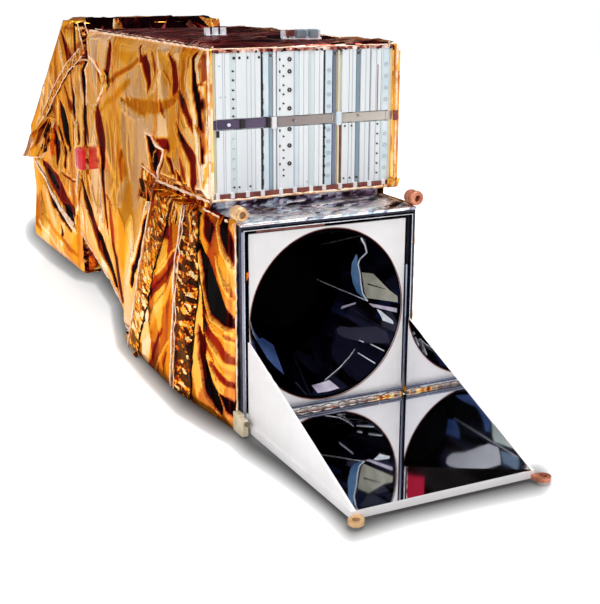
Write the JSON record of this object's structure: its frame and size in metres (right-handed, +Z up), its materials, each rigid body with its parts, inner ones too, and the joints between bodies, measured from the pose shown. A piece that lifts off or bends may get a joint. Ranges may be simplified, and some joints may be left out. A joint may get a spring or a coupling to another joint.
{
  "type": "scanning radiometer",
  "caption": "Weather satellite's scanning infrared radiometer: gold-blanketed body, open electronics bay, square radiant cooler with a hinged mirror shield, and a rotating scan mirror.",
  "frame": {"origin": "centre of the four mounting holes in the feet, in the plane the feet stand on", "axes": "+Z up, -Y out of the radiant cooler's mouth, +X to the right seen from in front of the mouth"},
  "size_m": [0.25, 1.0434, 0.378],
  "materials": {
    "gold_blanket": "crinkled gold film blanket, metallic sheen",
    "silver_film": "crinkled silvered film",
    "housing": "machined, satin",
    "module": "white, satin",
    "strap": "brushed",
    "bezel": "dark blue-grey, satin",
    "white_paint": "white thermal paint, matte",
    "mirror": "polished",
    "black": "black, matte",
    "bronze": "bronze, satin",
    "red_cover": "red cap",
    "plug": "plated, bright"
  },
  "bodies": {
    "root": {"blanket_back": "gold_blanket", "blanket_body_left": "gold_blanket", "blanket_body_right": "gold_blanket", "blanket_cooler_left": "gold_blanket", "blanket_cooler_right": "gold_blanket", "blanket_gap_top": "gold_blanket", "blanket_scanner_front": "gold_blanket", "blanket_scanner_left": "gold_blanket", "blanket_scanner_rear": "gold_blanket", "blanket_scanner_right": "gold_blanket", "blanket_scanner_slope": "gold_blanket", "blanket_top": "gold_blanket", "cold_stage": "black", "cooler_bezel": "bezel", "cooler_cone": "mirror", "cooler_deck": "silver_film", "cooler_housing": "housing", "cooler_patch": "black", "cube_cover": "red_cover", "electronics_housing": "housing", "feet_front": "housing", "feet_rear": "housing", "hinge_bracket_left": "housing", "hinge_bracket_right": "housing", "latch_left": "bronze", "latch_right": "bronze", "module_straps": "strap", "modules_left": "module", "modules_middle": "module", "modules_right": "module", "motor_cap": "housing", "optics_housing": "housing", "primary_mirror": "mirror", "radiator_plate": "white_paint", "radiator_posts": "housing", "scan_motor": "housing", "scanner_housing": "housing", "secondary_spider": "black", "telescope_barrel": "black", "top_plug_front": "plug", "top_plug_rear": "plug"},
    "earth_shield": {"shield_panel": "white_paint", "shield_mirror": "mirror", "shield_wing_left": "white_paint", "shield_wing_right": "white_paint", "wing_mirror_left": "mirror", "wing_mirror_right": "mirror", "latch_ring_left": "bronze", "latch_ring_right": "bronze"},
    "scan_mirror_body": {"scan_mirror": "mirror", "scan_hub": "housing"}
  },
  "joints": [
    {"name": "shield_hinge", "type": "hinge", "parent": "root", "child": "earth_shield", "pos_m": [-0.009, -0.31, 0.007], "axis": [-1, 0, 0], "range_deg": [0, 90]},
    {"name": "scan_spin", "type": "hinge", "parent": "root", "child": "scan_mirror_body", "pos_m": [0, 0.352, 0.178], "axis": [0, 1, 0], "continuous": true}
  ]
}
